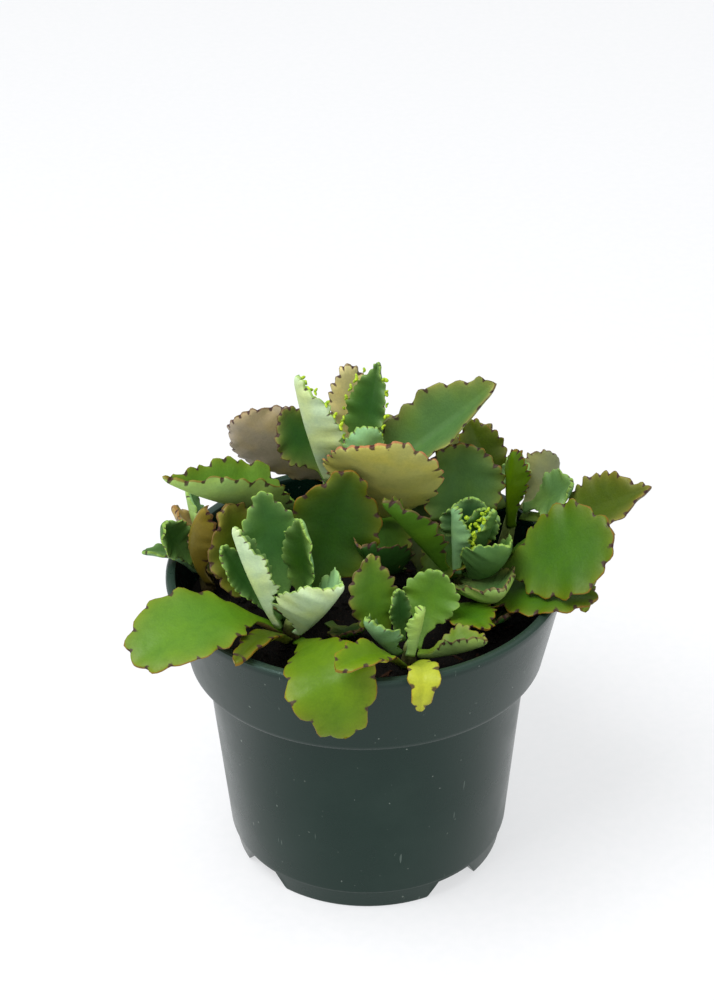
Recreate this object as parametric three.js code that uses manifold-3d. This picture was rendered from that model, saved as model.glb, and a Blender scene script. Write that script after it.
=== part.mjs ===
// A potted kalanchoe: a round nursery pot, its soil, and seven young plants with toothed leaves.
// Millimetres, +Z up. The origin is the centre of the pot's underside, and -Y is the front.
import * as THREE from "three";
import { mergeVertices } from "three/addons/utils/BufferGeometryUtils.js";
import Module from "manifold-3d";

// Driving dimensions of the pot.
const POT_HEIGHT = 87.5;
const RIM_RADIUS = 54; // outside of the lip
const BAND_HEIGHT = 25.5; // the wide band under the lip
const BAND_TAPER = 5.4; // how much narrower the band is at its foot than at the lip
const LEDGE = 4.4; // the step in, under the band
const BODY_TAPER = 5.3;
const FOOT_HEIGHT = 6;
const FOOT_STEP = 0.7; // the step in, above the foot
const FOOT_TAPER = 0.9;
const WALL = 1.4;
const LIP_WIDTH = 2.6;
const LIP_DEPTH = 2.2;
const FLOOR_THICKNESS = 1.8;
const DRAIN_COUNT = 4;
const DRAIN_WIDTH = 18; // at the table, along the foot
const DRAIN_TOP_WIDTH = 11;
const DRAIN_HEIGHT = 5;
const DRAIN_DEPTH = 9; // how far a drain slot cuts in from the foot's outside
const FRONT_FOOT_ANGLE = -96.5; // degrees, the middle of the foot piece at the front
const POT_SEGMENTS = 56;

// Soil and stems.
const HEADSPACE = 12.5; // from the lip down to the soil
const SOIL_CROWN = 1.5; // how much higher the soil is in the middle
const GAP = 0.3; // clearance between pieces that touch
const STEM_DEPTH = 9; // how deep a stem stands in the soil
const STEM_SIDES = 8;

// Leaves.
const LEAF_THICKNESS = 2.2; // at the midrib
const GIVEN_THICKNESS = 2.2; // that the leaves are placed for
const RIM_THICKNESS = 0.8; // a blade's margin
const PETIOLE_SHARE = 0.2; // of the leaf's length
const PETIOLE_HALF = 1.7;
const NOTCH_SHARE = 0.13; // depth of a notch as a share of the half width
const CREST_AT = 0.55; // where a tooth is widest, along its own length
const TEETH_START = 0.1; // along the blade
const BLADE_FORMS = {
  round: [0.75, 0.42], // widest beyond the middle, with a blunt end
  oval: [0.7, 0.6],
  pointed: [0.6, 0.85], // widest near the stalk
  fan: [1, 0.33], // widest close to its end
};

const wasm = await Module();
wasm.setup();

const soilTop = POT_HEIGHT - HEADSPACE;
const shoulderZ = POT_HEIGHT - BAND_HEIGHT;
const bandFootRadius = RIM_RADIUS - BAND_TAPER;
const bodyTopRadius = bandFootRadius - LEDGE;
const bodyFootRadius = bodyTopRadius - BODY_TAPER;
const footTopRadius = bodyFootRadius - FOOT_STEP;
const footRadius = footTopRadius - FOOT_TAPER;

// ---- booleans ----

function solidOf(geometry) {
  const bare = geometry.index ? geometry.toNonIndexed() : geometry.clone();
  const merged = mergeVertices(
    new THREE.BufferGeometry().setAttribute("position", bare.getAttribute("position")),
    1e-4,
  );
  return new wasm.Manifold(
    new wasm.Mesh({
      numProp: 3,
      vertProperties: merged.attributes.position.array,
      triVerts: new Uint32Array(merged.index.array),
    }),
  );
}

function geometryOf(solid) {
  const { numProp, numVert, vertProperties, triVerts } = solid.getMesh();
  const position = new Float32Array(numVert * 3);
  for (let i = 0; i < numVert; i++) {
    position.set(vertProperties.subarray(i * numProp, i * numProp + 3), i * 3);
  }
  return new THREE.BufferGeometry()
    .setAttribute("position", new THREE.BufferAttribute(position, 3))
    .setIndex(new THREE.BufferAttribute(triVerts, 1));
}

// ---- pot ----

// The pot's outside radius at a height.
function outerRadius(z) {
  if (z > shoulderZ) {
    const share = (z - shoulderZ) / BAND_HEIGHT;
    return THREE.MathUtils.lerp(bandFootRadius, RIM_RADIUS, share);
  }
  const share = (z - FOOT_HEIGHT) / (shoulderZ - FOOT_HEIGHT);
  return THREE.MathUtils.lerp(bodyFootRadius, bodyTopRadius, share);
}

// The pot's inside radius at a height.
function innerRadius(z) {
  return outerRadius(z) - WALL;
}

function lathe(profile, segments) {
  const points = profile.map(([radius, z]) => new THREE.Vector2(radius, z));
  return new THREE.LatheGeometry(points, segments).rotateX(Math.PI / 2);
}

function potShell() {
  const inTop = POT_HEIGHT - LIP_DEPTH;
  const shell = lathe(
    [
      [0, 0],
      [footRadius - 0.8, 0],
      [footRadius, 0.8],
      [footTopRadius, FOOT_HEIGHT],
      [bodyFootRadius, FOOT_HEIGHT + 0.6],
      [bodyTopRadius, shoulderZ],
      [bandFootRadius - 0.6, shoulderZ],
      [bandFootRadius, shoulderZ + 0.6],
      [RIM_RADIUS, POT_HEIGHT - 1],
      [RIM_RADIUS - 0.6, POT_HEIGHT],
      [RIM_RADIUS - LIP_WIDTH, POT_HEIGHT],
      [RIM_RADIUS - LIP_WIDTH - 0.3, inTop + 1],
      [innerRadius(inTop), inTop],
      [innerRadius(shoulderZ + WALL), shoulderZ + WALL],
      [bodyTopRadius - WALL, shoulderZ],
      [footTopRadius - WALL, FLOOR_THICKNESS + 2],
      [footTopRadius - WALL - 2, FLOOR_THICKNESS],
      [0, FLOOR_THICKNESS],
    ],
    POT_SEGMENTS,
  );
  return solidOf(shell);
}

// A wedge that is wide at the table, for one drain slot, pointing along +X.
function drainCutter() {
  const outline = new THREE.Shape([
    new THREE.Vector2(-DRAIN_WIDTH / 2 - 0.6, -1),
    new THREE.Vector2(DRAIN_WIDTH / 2 + 0.6, -1),
    new THREE.Vector2(DRAIN_TOP_WIDTH / 2, DRAIN_HEIGHT),
    new THREE.Vector2(-DRAIN_TOP_WIDTH / 2, DRAIN_HEIGHT),
  ]);
  const cutter = new THREE.ExtrudeGeometry(outline, { depth: DRAIN_DEPTH + 4, bevelEnabled: false });
  cutter.rotateX(Math.PI / 2).rotateZ(Math.PI / 2);
  return cutter.translate(footRadius - DRAIN_DEPTH, 0, 0);
}

function potGeometry() {
  let pot = potShell();
  for (let i = 0; i < DRAIN_COUNT; i++) {
    const angle = FRONT_FOOT_ANGLE + ((i + 0.5) * 360) / DRAIN_COUNT;
    const cutter = drainCutter().rotateZ(THREE.MathUtils.degToRad(angle));
    pot = pot.subtract(solidOf(cutter));
  }
  return geometryOf(pot);
}

// ---- stems ----

// Each plant's stem: where it leaves the soil, where its top is, and its radius at the soil.
const PLANTS = {
  front_left: { foot: [-20, -15], head: [-20, -22, 85], radius: 2.6 },
  front: { foot: [11, -30], head: [11, -34.5, 86], radius: 2.3 },
  right: { foot: [26, 5], head: [26, 0, 88], radius: 2.6 },
  centre: { foot: [-6, 20], head: [-6, 16, 108], radius: 3 },
  left: { foot: [-43, 8], head: [-44, 4, 90], radius: 2.2 },
  back_right: { foot: [38, 20], head: [41, 20, 94], radius: 2.4 },
  back: { foot: [4, 38], head: [2, 38, 96], radius: 2.6 },
};

// The plants are given for a pot of this size. A wider pot has bigger plants. They keep their height
// over its lip, unless the soil stands so high that it lifts them.
const GIVEN_LIP = 87.5;
const GIVEN_RIM = 54;
const GIVEN_HEADSPACE = 12.5;
const growth = RIM_RADIUS / GIVEN_RIM;
const lift = Math.max(POT_HEIGHT, soilTop + GIVEN_HEADSPACE * growth);
const heightOf = (z) => lift + (z - GIVEN_LIP) * growth;
const placeOf = ([x, y, z]) => new THREE.Vector3(x * growth, y * growth, heightOf(z));

const footOf = ({ foot }) => placeOf([...foot, GIVEN_LIP - GIVEN_HEADSPACE]);
const headOf = ({ head }) => placeOf(head);

// A point on the stem's axis at a height above the table.
function stemPoint(plant, z) {
  const foot = footOf(plant);
  const head = headOf(plant);
  return foot.lerp(head, (z - foot.z) / (head.z - foot.z));
}

// A stem swells where its lowest leaves grew, then tapers: [share of its height, share of its radius].
const STEM_TAPER = [
  [0, 1],
  [0.3, 1.04],
  [0.45, 0.86],
  [1, 0.65],
];

function stemRadius(plant, z) {
  const [low, high] = [footOf(plant).z, headOf(plant).z];
  const share = THREE.MathUtils.clamp((z - low) / (high - low), 0, 1);
  const upper = STEM_TAPER.findIndex(([height]) => height >= share);
  const [h1, r1] = STEM_TAPER[upper];
  const [h0, r0] = STEM_TAPER[Math.max(upper - 1, 0)];
  const between = h1 > h0 ? (share - h0) / (h1 - h0) : 0;
  return plant.radius * growth * THREE.MathUtils.lerp(r0, r1, between);
}

function stemGeometry(plant, extra = 0) {
  const foot = footOf(plant);
  const head = headOf(plant);
  const length = foot.distanceTo(head);
  const radius = plant.radius * growth;
  const bottom = soilTop - foot.z - STEM_DEPTH - extra;
  const profile = [
    [0, bottom],
    [radius * 0.9 + extra, bottom],
    ...STEM_TAPER.map(([height, share]) => [radius * share + extra, length * height]),
    [0, length + 0.6 + extra],
  ];
  const stem = lathe(profile, STEM_SIDES);
  const lean = new THREE.Quaternion().setFromUnitVectors(
    new THREE.Vector3(0, 0, 1),
    head.clone().sub(foot).normalize(),
  );
  return stem.applyQuaternion(lean).translate(foot.x, foot.y, foot.z);
}

// ---- soil ----

function soilGeometry() {
  const low = FLOOR_THICKNESS + GAP;
  let soil = solidOf(
    lathe(
      [
        [0, low],
        [footTopRadius - WALL - 2 - GAP, low],
        [footTopRadius - WALL - GAP, low + 2],
        [bodyTopRadius - WALL - GAP, shoulderZ + GAP],
        [innerRadius(shoulderZ + WALL) - GAP, shoulderZ + WALL + GAP],
        [innerRadius(soilTop - 1) - GAP, soilTop - 1],
        [innerRadius(soilTop) - 8, soilTop + SOIL_CROWN * 0.4],
        [innerRadius(soilTop) - 22, soilTop + SOIL_CROWN],
        [0, soilTop + SOIL_CROWN],
      ],
      40,
    ),
  );
  for (const plant of Object.values(PLANTS)) {
    soil = soil.subtract(solidOf(stemGeometry(plant, GAP)));
  }
  return geometryOf(soil);
}

// ---- leaves ----

// How far along the leaf each cross-section stands, and its half width.
function stations({ width, teeth, form, stalk }) {
  const [a, b] = BLADE_FORMS[form];
  const petiole = PETIOLE_HALF * growth;
  const peak = a / (a + b);
  const most = peak ** a * (1 - peak) ** b;
  const half = (t) => ((width / 2) * t ** a * (1 - t) ** b) / most;
  const along = (t) => stalk + (1 - stalk) * t;
  const found = [
    { s: 0, half: petiole },
    { s: stalk * 0.5, half: petiole * 0.85 },
    { s: stalk, half: petiole },
  ];
  const step = (0.98 - TEETH_START) / teeth;
  for (let k = 0; k < teeth; k++) {
    const crest = TEETH_START + (k + CREST_AT) * step;
    const notch = TEETH_START + (k + 1) * step;
    found.push({ s: along(crest), half: Math.max(half(crest), petiole * 1.1) });
    if (k < teeth - 1) {
      found.push({ s: along(notch), half: half(notch) - (NOTCH_SHARE * width) / 2 });
    }
  }
  return found;
}

// A leaf as one closed solid: an upper and a lower sheet, joined by a thin band round the margin.
function leafGeometry(leaf) {
  const { base, tip, knee, face, cup, stalk, thick } = leaf;
  const midrib = new THREE.QuadraticBezierCurve3(base, knee, tip);
  const frameAt = (s) => {
    const along = midrib.getTangent(s);
    const normal = face.clone().addScaledVector(along, -face.dot(along)).normalize();
    return { at: midrib.getPoint(s), side: along.clone().cross(normal), normal };
  };
  const points = [];
  const put = ({ at, side, normal }, y, z) => {
    points.push(at.clone().addScaledVector(side, y).addScaledVector(normal, z));
    return points.length - 1;
  };
  const margin = RIM_THICKNESS * growth;
  // A thicker leaf swells to both sides.
  const swell = (thick - leaf.givenThick) / 2;
  const rings = stations(leaf).map(({ s, half }) => {
    const frame = frameAt(s);
    const open = THREE.MathUtils.smoothstep(s, stalk * 0.5, stalk + 0.15);
    const fold = THREE.MathUtils.degToRad(cup) * open;
    const y = half * Math.cos(fold);
    const z = half * Math.sin(fold);
    const depth = thick * (1 - 0.35 * open * s);
    const inY = margin * Math.sin(fold);
    const inZ = margin * Math.cos(fold);
    return [
      put(frame, y, z),
      put(frame, 0, swell),
      put(frame, -y, z),
      put(frame, -y - inY, z - inZ),
      put(frame, 0, swell - depth),
      put(frame, y + inY, z - inZ),
    ];
  });
  const end = frameAt(1);
  const tipUp = put(end, 0, 0);
  const tipDown = put(end, 0, -margin);
  const faces = [];
  const quad = (p, q, r, t) => {
    const longer =
      points[p].distanceToSquared(points[r]) > points[q].distanceToSquared(points[t]);
    if (longer) faces.push(p, q, r, p, r, t);
    else faces.push(p, q, t, q, r, t);
  };
  for (let i = 0; i + 1 < rings.length; i++) {
    for (let j = 0; j < 6; j++) {
      const k = (j + 1) % 6;
      quad(rings[i][j], rings[i + 1][j], rings[i + 1][k], rings[i][k]);
    }
  }
  const [l, m, r, rd, md, ld] = rings.at(-1);
  faces.push(l, tipUp, m, m, tipUp, r, rd, tipDown, md, md, tipDown, ld);
  quad(r, tipUp, tipDown, rd);
  quad(ld, tipDown, tipUp, l);
  const [bl, bm, br, brd, bmd, bld] = rings[0];
  quad(bl, bm, bmd, bld);
  quad(bm, br, brd, bmd);
  return new THREE.BufferGeometry()
    .setAttribute(
      "position",
      new THREE.Float32BufferAttribute(points.flatMap((p) => p.toArray()), 3),
    )
    .setIndex(faces);
}

// Every leaf of every plant. at: height of its foot above the table; from: the side of the stem that
// it grows on, in degrees; tip: where it ends; knee: the point that its midrib bends towards, or bow:
// how far the midrib arches above a straight line; face: the way its upper side looks; cup: how far
// each half is folded up, in degrees.
const LEAVES = {
  front_left: [
    {
      at: 81.5, tip: [-59.5, -46, 88.5], from: -165, knee: [-38, -30, 101],
      face: [0.1, -0.12, 1],
      width: 27, cup: 6, teeth: 5, form: "round",
    },
    {
      at: 78.5, tip: [-36, -2, 109], from: 135,
      face: [0.5, -0.6, 0.4],
      width: 25, bow: -3, cup: 8, teeth: 6, form: "oval",
    },
    {
      at: 83.8, tip: [-27, -9, 117], from: 97,
      face: [0.1, -1, 0.3],
      width: 17, bow: -2, cup: 14, teeth: 6, form: "oval",
    },
    {
      at: 84.8, tip: [-33, -28, 118.3],
      face: [1, 0.2, 0.3],
      width: 11, bow: -1, cup: 60, teeth: 6, form: "pointed",
    },
    {
      at: 84, tip: [-17, -20, 115],
      face: [-0.8, -0.6, 0.2],
      width: 14, bow: -1, cup: 15, teeth: 6, form: "oval",
    },
    {
      at: 82.5, tip: [-6, -36, 106],
      face: [-0.5, 0.6, 0.6],
      width: 24, bow: -1, cup: 45, teeth: 7, form: "pointed", stalk: 0.08,
    },
    {
      at: 79, tip: [-3, -6, 121],
      face: [0.1, -1, 0.35],
      width: 26, bow: -3, cup: 8, teeth: 6, form: "oval",
    },
    {
      at: 79, tip: [-6, -58, 73], from: -68, knee: [-9.5, -63, 105],
      face: [0, -0.7, 0.8],
      width: 24.5, cup: 4, thin: 0.86, teeth: 5, form: "round", stalk: 0.1,
    },
    {
      at: 78.5, tip: [-33.5, -48, 90], from: -103,
      face: [0, 0, 1],
      width: 8, bow: 4, cup: 10, teeth: 3, form: "oval",
    },
    {
      at: 84.4, tip: [-37, -19.5, 106.9], from: 155,
      face: [0.7, -0.7, 0.2],
      width: 9, bow: -2, cup: 10, teeth: 5, form: "oval",
    },
  ],
  front: [
    {
      at: 82, tip: [1.5, -30, 110.5], knee: [0, -31, 94],
      face: [0.35, -1, 0.2],
      width: 14, cup: 8, teeth: 5, form: "oval",
    },
    {
      at: 84.5, tip: [0, -42, 99], from: -165,
      face: [0.5, 0.5, 0.7],
      width: 12, bow: -1, cup: 35, teeth: 4, form: "pointed",
    },
    {
      at: 82, tip: [19, -22, 100],
      face: [-0.2, -0.9, 0.5],
      width: 16, bow: -2, cup: 10, teeth: 5, form: "round",
    },
    {
      at: 85, tip: [8.5, -32, 101],
      face: [0.4, -0.9, 0.1],
      width: 6.5, bow: 0, cup: 10, teeth: 4, form: "oval",
    },
    {
      at: 85, tip: [14, -38, 100], from: -95,
      face: [-0.6, 0.6, 0.5],
      width: 5.5, bow: 0, cup: 30, teeth: 4, form: "oval",
    },
    {
      at: 83, tip: [31, -36, 88],
      face: [0, 0.2, 1],
      width: 13, bow: -1, cup: 45, teeth: 4, form: "oval",
    },
    {
      at: 79.5, tip: [-8, -60, 96], from: -115, knee: [4, -52, 99],
      face: [0, -0.3, 1],
      width: 11, cup: 20, thin: 0.77, teeth: 4, form: "round",
    },
    {
      at: 80, tip: [13, -58, 81], knee: [16, -61, 102],
      face: [0, -0.7, 0.8],
      width: 9, cup: 15, thin: 0.77, teeth: 3, form: "oval",
    },
  ],
  right: [
    {
      at: 88, tip: [24, -8, 111],
      face: [0.8, 0.5, 0.2],
      width: 8, bow: 0, cup: 35, teeth: 6, form: "pointed",
    },
    {
      at: 89, tip: [32, 1, 104.5],
      face: [0, -1, 0.3],
      width: 10, bow: -1, cup: 15, teeth: 4, form: "oval",
    },
    {
      at: 88, tip: [34, -5, 108],
      face: [-0.9, 0.2, 0.3],
      width: 7, bow: 0, cup: 35, teeth: 6, form: "pointed",
    },
    {
      at: 87, tip: [29, 6, 105],
      face: [0, -1, 0.3],
      width: 17, bow: -1, cup: 12, teeth: 6, form: "oval",
    },
    {
      at: 86.6, tip: [37.5, -15, 103.3],
      face: [-0.3, 0.6, 0.7],
      width: 20, bow: -3, cup: 45, teeth: 7, form: "oval", stalk: 0.1,
    },
    {
      at: 84.1, tip: [35.5, -24, 95.7],
      face: [-0.3, 0.5, 0.8],
      width: 21, bow: -4, cup: 35, teeth: 7, form: "oval", stalk: 0.08,
    },
    {
      at: 85, tip: [5, -15, 117.5],
      face: [0.5, 0.4, 0.8],
      width: 15, bow: 0, cup: 40, teeth: 6, form: "oval",
    },
    {
      at: 85.2, tip: [64.5, -18, 108], from: -5, knee: [44.8, -13, 95.5],
      face: [-0.3, -0.6, 0.75],
      width: 28, cup: 6, teeth: 6, form: "round", stalk: 0.27,
    },
    {
      at: 78.5, tip: [61, -21, 90.5], knee: [44, -17, 91.5],
      face: [-0.1, -0.15, 1],
      width: 21, cup: 4, teeth: 6, form: "oval", stalk: 0.1,
    },
    {
      at: 83, tip: [26, 12.6, 118],
      face: [0, -1, 0.3],
      width: 25, bow: -3.5, cup: 8, teeth: 6, form: "round",
    },
  ],
  centre: [
    {
      at: 106, tip: [-17, 10, 141], from: 190,
      face: [1, 0.5, 0.3],
      width: 20, bow: -1, cup: 35, teeth: 7, form: "pointed",
    },
    {
      at: 108, tip: [4, 22, 138],
      face: [-0.6, -0.8, 0.1],
      width: 13, bow: -1, cup: 12, teeth: 7, form: "pointed",
    },
    {
      at: 104, tip: [-21.5, 22, 124],
      face: [0.6, -0.8, 0.1],
      width: 17, bow: -1, cup: 10, teeth: 5, form: "oval",
    },
    {
      at: 103, tip: [35, 17, 134],
      face: [-0.4, -0.5, 0.7],
      width: 24, bow: -3, cup: 38, teeth: 6, form: "oval", stalk: 0.1,
    },
    {
      at: 94, tip: [0, -8, 130], knee: [12, 3, 101],
      face: [0.2, 0.88, 0.4],
      width: 35, cup: 12, teeth: 7, form: "fan",
    },
    {
      at: 107, tip: [2, 7, 127], from: -60,
      face: [0, 0.8, 0.6],
      width: 12, bow: -2, cup: 20, teeth: 5, form: "round",
    },
    {
      at: 98, tip: [-53, 0, 117],
      face: [0, 0.05, 1],
      width: 24, bow: -4, cup: 57, teeth: 7, form: "pointed",
    },
  ],
  left: [
    {
      at: 82, tip: [-41.5, -5, 109.5], knee: [-49.5, -2, 98], from: -60,
      face: [0.8, 0.3, 0.2],
      width: 15, cup: 50, teeth: 6, form: "oval",
    },
    {
      at: 88, tip: [-47, 12, 107], from: 60,
      face: [1, -0.2, 0.2],
      width: 8, bow: -1, cup: 30, teeth: 4, form: "pointed",
    },
    {
      at: 84, tip: [-52, 16, 98],
      face: [0, 0.5, 1],
      width: 16, bow: 1, cup: 15, teeth: 5, form: "oval",
    },
    {
      at: 89, tip: [-53, -3, 103.5], from: 235,
      face: [0.5, -0.6, 0.5],
      width: 12, bow: -2, cup: 25, teeth: 5, form: "oval",
    },
    {
      at: 83.8, tip: [-60, 0.5, 92.9], from: 180,
      face: [0, 0, 1],
      width: 6, bow: 2, cup: 20, thin: 0.77, teeth: 3, form: "pointed",
    },
  ],
  back_right: [
    {
      at: 92, tip: [29, 33, 114], from: 150,
      face: [0.2, -0.9, 0.4],
      width: 15, bow: -1, cup: 15, teeth: 5, form: "oval",
    },
    {
      at: 93, tip: [42, 27, 107],
      face: [0, -0.9, 0.4],
      width: 9, bow: -1, cup: 20, teeth: 4, form: "oval",
    },
    {
      at: 90, tip: [40.5, 9.5, 118],
      face: [0.5, 0.8, 0.2],
      width: 10, bow: -1, cup: 45, teeth: 6, form: "oval",
    },
    {
      at: 90, tip: [53, 34, 102],
      face: [0, 1, 0.3],
      width: 15, bow: 0, cup: 12, teeth: 5, form: "round",
    },
    {
      at: 94, tip: [56, 12, 105.5],
      face: [-0.3, -0.4, 0.85],
      width: 15, bow: -1, cup: 15, teeth: 5, form: "oval",
    },
    {
      at: 91, tip: [76, 1, 111], knee: [57, 5, 96], from: 0,
      face: [-0.3, -0.4, 0.8],
      width: 20, cup: 25, thin: 0.82, teeth: 6, form: "oval", stalk: 0.3,
    },
    {
      at: 79.5, tip: [59.5, -3, 73.5], knee: [62.5, 5, 111], from: -60,
      face: [0.6, -0.4, 0.7],
      width: 17, cup: 6, teeth: 6, form: "oval",
    },
  ],
  back: [
    {
      at: 94, tip: [-4, 31, 133],
      face: [0.1, 1, 0.2],
      width: 15, bow: -1, cup: 14, teeth: 6, form: "oval",
    },
    {
      at: 90, tip: [-35, 30, 117.5],
      face: [0.1, 1, 0.3],
      width: 28, bow: -2, cup: 10, teeth: 7, form: "round",
    },
    {
      at: 86, tip: [-24, 64, 84], knee: [-20, 62, 100],
      face: [-0.2, 0.6, 0.8],
      width: 24, cup: 6, teeth: 6, form: "round",
    },
    {
      at: 87, tip: [18, 66, 88], knee: [14, 60, 97],
      face: [0.1, 0.6, 0.8],
      width: 22, cup: 10, teeth: 6, form: "oval",
    },
  ],
};

// Fills in a leaf's sizes, and where its foot stands: against its stem, on the side it grows towards.
function placed(plant, leaf) {
  const { cup = 15, bow = 3, stalk = PETIOLE_SHARE, thin = 1 } = leaf;
  const foot = heightOf(leaf.at);
  const axis = stemPoint(plant, foot);
  const tip = placeOf(leaf.tip);
  const towards = (leaf.knee ? placeOf(leaf.knee) : tip).clone().sub(axis).setZ(0);
  if (leaf.from !== undefined) {
    const angle = THREE.MathUtils.degToRad(leaf.from);
    towards.set(Math.cos(angle), Math.sin(angle), 0);
  }
  const out = towards.normalize();
  const face = new THREE.Vector3(...leaf.face).normalize();
  const givenThick = GIVEN_THICKNESS * thin * growth;
  // A leaf that shows its upper side outwards has its thickness towards the stem.
  const sideways = PETIOLE_HALF * growth * Math.abs(face.x * out.y - face.y * out.x);
  const thick = LEAF_THICKNESS * thin * growth;
  const swollen = Math.max(0, thick - givenThick) / 2;
  const inward = Math.max(0, face.dot(out)) * givenThick + swollen + sideways;
  const base = axis.addScaledVector(out, stemRadius(plant, foot) + GAP * growth + inward);
  const chord = tip.clone().sub(base);
  const up = face.clone().addScaledVector(chord, -face.dot(chord) / chord.lengthSq()).normalize();
  const arch = base.clone().lerp(tip, 0.5).addScaledVector(up, 2 * bow * growth);
  const knee = leaf.knee ? placeOf(leaf.knee) : arch;
  const width = leaf.width * growth;
  return { ...leaf, base, knee, tip, face, cup, stalk, thick, givenThick, width };
}

// ---- the object ----

const plastic = new THREE.MeshStandardMaterial({ color: 0x24352f, roughness: 0.42, metalness: 0 });
const peat = new THREE.MeshStandardMaterial({ color: 0x20150f, roughness: 0.95, metalness: 0 });
const stalk = new THREE.MeshStandardMaterial({ color: 0x7d8f4f, roughness: 0.6, metalness: 0 });
const blade = new THREE.MeshStandardMaterial({ color: 0x4c7a35, roughness: 0.5, metalness: 0 });

function named(name, geometry, material) {
  const mesh = new THREE.Mesh(geometry, material);
  mesh.name = name;
  return mesh;
}

const kalanchoe = new THREE.Group();
kalanchoe.add(named("pot", potGeometry(), plastic));
kalanchoe.add(named("soil", soilGeometry(), peat));
for (const [plantName, plant] of Object.entries(PLANTS)) {
  const growth = new THREE.Group();
  growth.add(named(`${plantName}_stem`, stemGeometry(plant), stalk));
  LEAVES[plantName].forEach((leaf, i) => {
    growth.add(named(`${plantName}_leaf_${i + 1}`, leafGeometry(placed(plant, leaf)), blade));
  });
  kalanchoe.add(growth);
}

export default kalanchoe;
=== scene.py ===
# %% [markdown]
# # A potted kalanchoe
# A round nursery pot holds peat and seven young kalanchoes with toothed, fleshy leaves. This lesson
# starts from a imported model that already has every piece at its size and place. Here each piece is
# modelled again finely around it and gets its finish. Lengths are in metres and +Z is up.

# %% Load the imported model
import math
import random

import bpy
import numpy as np
from mathutils import Matrix, Vector, noise


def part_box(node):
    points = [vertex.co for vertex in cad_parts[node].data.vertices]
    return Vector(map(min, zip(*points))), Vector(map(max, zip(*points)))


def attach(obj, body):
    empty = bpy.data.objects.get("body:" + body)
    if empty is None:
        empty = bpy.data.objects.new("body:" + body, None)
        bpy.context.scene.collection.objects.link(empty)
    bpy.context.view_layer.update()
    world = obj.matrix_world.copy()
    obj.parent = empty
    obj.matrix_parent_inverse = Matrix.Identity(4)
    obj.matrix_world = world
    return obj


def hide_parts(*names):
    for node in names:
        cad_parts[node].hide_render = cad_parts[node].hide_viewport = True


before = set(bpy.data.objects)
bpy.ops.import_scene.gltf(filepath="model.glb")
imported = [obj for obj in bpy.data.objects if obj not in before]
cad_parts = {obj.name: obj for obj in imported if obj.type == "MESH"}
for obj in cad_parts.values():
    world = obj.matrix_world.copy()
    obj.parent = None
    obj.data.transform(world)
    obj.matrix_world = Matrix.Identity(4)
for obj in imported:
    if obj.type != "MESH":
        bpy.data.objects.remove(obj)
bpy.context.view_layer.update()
MM = 0.001
random.seed(7)
print("CAD nodes:", len(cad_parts))

# %% [markdown]
# ## Helpers
# An operator works on whatever is selected, so a step that uses one first selects a single object.
# A imported piece is copied before its doubled points are merged, so the imported model stays as it is.
# A finished piece is told which body it moves with and gets its finish, and the imported nodes it
# stands for are hidden.


# %% Helpers for operators and for finished pieces
def select_only(piece):
    bpy.ops.object.select_all(action="DESELECT")
    piece.select_set(True)
    bpy.context.view_layer.objects.active = piece


def edit(piece, pick="SELECT"):
    select_only(piece)
    bpy.ops.object.mode_set(mode="EDIT")
    bpy.ops.mesh.select_all(action=pick)


def leave_edit():
    bpy.ops.object.mode_set(mode="OBJECT")
    return bpy.context.object


def apply_modifier(piece, kind, **settings):
    select_only(piece)
    modifier = piece.modifiers.new(kind.title(), kind)
    for key, value in settings.items():
        setattr(modifier, key, value)
    bpy.ops.object.modifier_apply(modifier=modifier.name)


def merged_copy(node, name):
    piece = bpy.data.objects.new(name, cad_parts[node].data.copy())
    bpy.context.scene.collection.objects.link(piece)
    piece.data.materials.clear()
    edit(piece)
    bpy.ops.mesh.remove_doubles(threshold=0.01 * MM)
    return leave_edit()


def settle(piece, material, slot, *nodes):
    select_only(piece)
    bpy.ops.object.transform_apply(location=True, rotation=True, scale=True)
    piece.data.materials.clear()
    piece.data.materials.append(material)
    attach(piece, "root")
    if nodes:
        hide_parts(*nodes)


# %% [markdown]
# ## Reading a leaf's skeleton
# Each packed leaf is a plain shell: a row of cross-sections from stalk to tip. Every section has a
# point on the midrib above and below, and two close points on each margin. The margins are found by
# their thin edge, which is as long as the margin is thick, and what is left over is the midrib.
# Walking along the edges puts both in order. That gives a skeleton to grow a finer leaf on.

# %% Read the cross-sections of a packed leaf
MARGIN_THICKNESS = 0.8 * MM


def walk(start, linked):
    order = [start]
    while True:
        onward = [w for w in linked[order[-1]] if w not in order[-2:]]
        if not onward:
            return order
        order.append(onward[0])


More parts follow.
